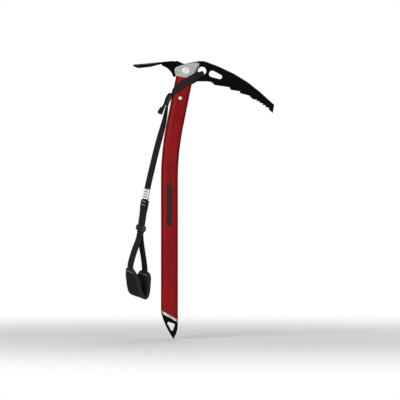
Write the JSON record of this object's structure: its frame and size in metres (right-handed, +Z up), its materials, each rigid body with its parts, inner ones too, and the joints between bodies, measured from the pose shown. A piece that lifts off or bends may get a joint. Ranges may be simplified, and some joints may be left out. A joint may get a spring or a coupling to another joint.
{
  "type": "ice axe",
  "caption": "Walking ice axe with a pick and adze head, a gently bent oval shaft, a slanted spike end and a padded wrist leash.",
  "frame": {"origin": "centre of the round eye in the head plate, on the axe's middle plane", "axes": "+Z up along the straight lower part of the shaft, +X from the shaft to the pick, Y across the axe's thickness"},
  "size_m": [0.2687, 0.0542, 0.5005],
  "materials": {
    "forged_steel": "black coated forging, satin",
    "bare_aluminium": "fine satin, tumbled",
    "rivet_steel": "bright, turned",
    "red_anodised": "red anodised, satin metallic",
    "label_black": "thin black film",
    "black_webbing": "woven polyamide webbing",
    "buckle_plastic": "moulded acetal, fine texture",
    "slider_plastic": "moulded soft plastic",
    "woven_label": "white woven satin",
    "grey_thread": "light grey sewing thread",
    "pad_fabric": "coated plain-weave fabric",
    "pad_foam": "closed-cell foam",
    "pad_lining": "brushed knit lining",
    "binding_tape": "ribbed binding tape"
  },
  "bodies": {
    "axe": {"head_plate": "forged_steel", "head_insert": "bare_aluminium", "main_rivet": "rivet_steel", "shaft_rivet": "rivet_steel", "shaft_tube": "red_anodised", "shaft_label": "label_black", "spike_fitting": "bare_aluminium", "spike_blade": "forged_steel", "spike_pin": "rivet_steel", "head_loop": "black_webbing"},
    "leash_strap": {"ladder_buckle": "buckle_plastic", "strap_tail": "black_webbing", "main_strap": "black_webbing", "strap_label": "woven_label", "loop_neck": "black_webbing", "junction_stitching": "grey_thread"},
    "slider": {"wrist_slider": "slider_plastic"},
    "wrist_loop": {"near_leg": "black_webbing", "far_leg": "black_webbing", "pad_cover": "pad_fabric", "pad_foam": "pad_foam", "pad_lining": "pad_lining", "pad_binding": "binding_tape"}
  },
  "joints": [
    {"name": "leash_swing", "type": "hinge", "parent": "axe", "child": "leash_strap", "pos_m": [-0.0582, 0, -0.0432], "axis": [-0.24, 0.9659, 0.097], "range_deg": [-1, 110]},
    {"name": "slider_travel", "type": "slide", "parent": "leash_strap", "child": "slider", "axis": [0.1443, 0, 0.9895], "range_m": [0, 0.024]},
    {"name": "wrist_loop_fold", "type": "hinge", "parent": "leash_strap", "child": "wrist_loop", "pos_m": [-0.11155, 0, -0.29428], "axis": [-0.6891, 0.6891, 0.2241], "range_deg": [-90, 90]}
  ]
}
